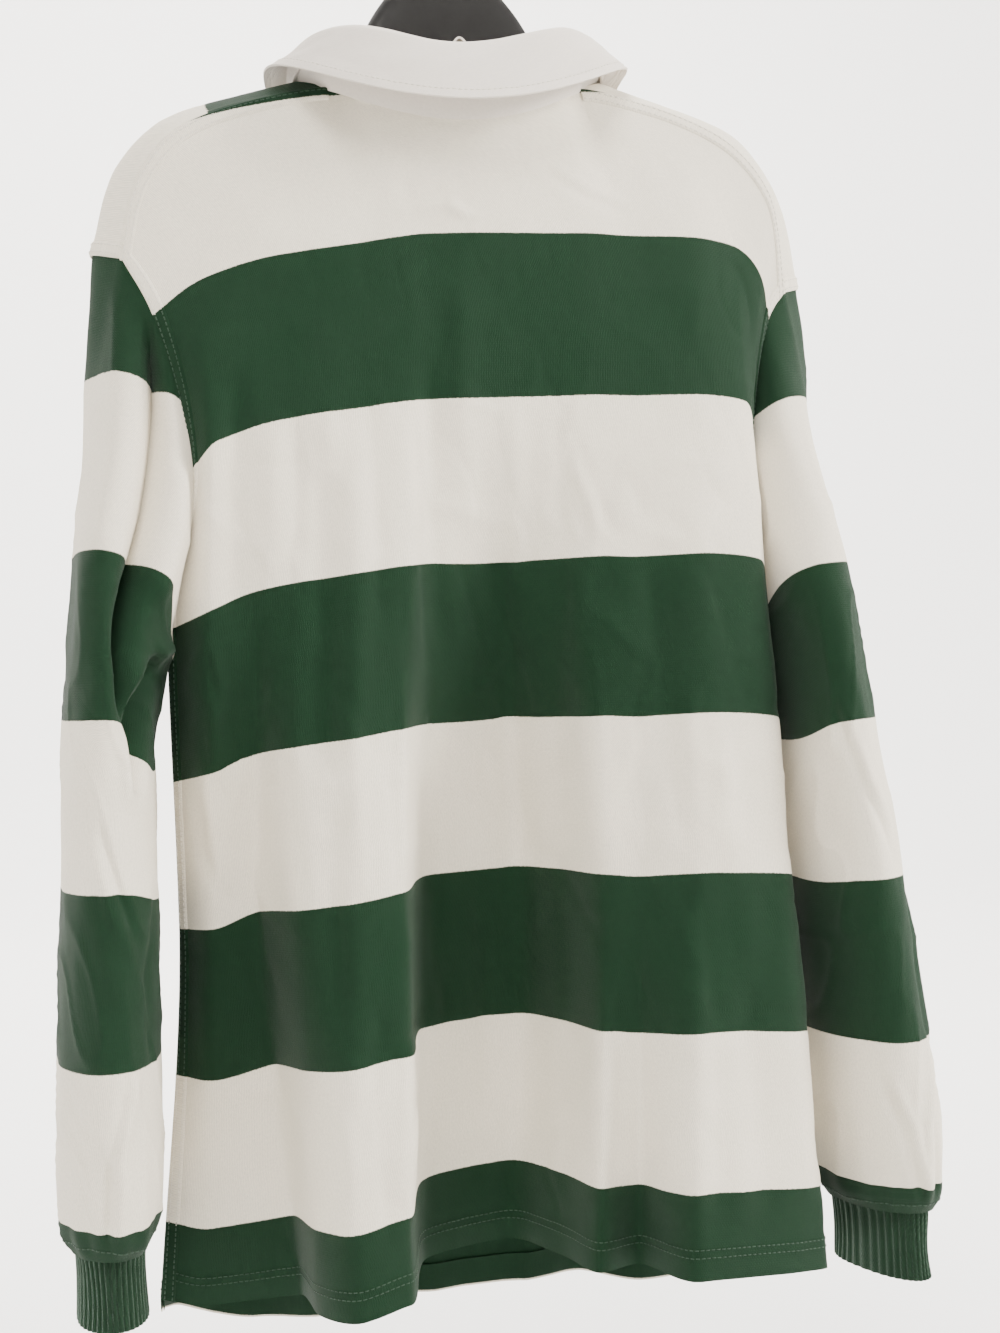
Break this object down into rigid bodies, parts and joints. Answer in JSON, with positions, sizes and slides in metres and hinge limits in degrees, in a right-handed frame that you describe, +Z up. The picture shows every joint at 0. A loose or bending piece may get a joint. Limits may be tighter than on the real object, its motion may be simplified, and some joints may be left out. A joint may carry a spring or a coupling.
{
  "type": "rugby shirt on a hanger",
  "caption": "Long-sleeved rugby shirt in wide bottle-green and cream hoops with a cream twill collar and green rib cuffs, hung on a broad black hanger.",
  "frame": {"origin": "the point inside the hanger's hook that bears on a rail", "axes": "+Z up, +X towards the wearer's left sleeve, -Y out of the shirt's front, +Y out of its back"},
  "size_m": [0.5761, 0.2185, 0.98],
  "materials": {
    "striped_jersey": "heavy cotton jersey in bottle-green and cream hoops",
    "rib_green": "2x2 cotton rib",
    "twill_cream": "cotton twill",
    "button_rubber": "satin",
    "hanger_black": "matt moulded",
    "hook_steel": "plated wire"
  },
  "bodies": {
    "root": {"back_panel": "striped_jersey", "front_panel": "striped_jersey", "left_sleeve": "striped_jersey", "right_sleeve": "striped_jersey", "left_cuff": "rib_green", "right_cuff": "rib_green", "collar_leaf": "twill_cream", "collar_stand": "twill_cream", "placket_over": "twill_cream", "placket_under": "twill_cream", "locker_loop": "twill_cream", "left_vent_tape": "twill_cream", "right_vent_tape": "twill_cream", "button_1": "button_rubber", "button_2": "button_rubber", "button_3": "button_rubber", "hanger_body": "hanger_black", "hanger_hook": "hook_steel"}
  },
  "joints": []
}
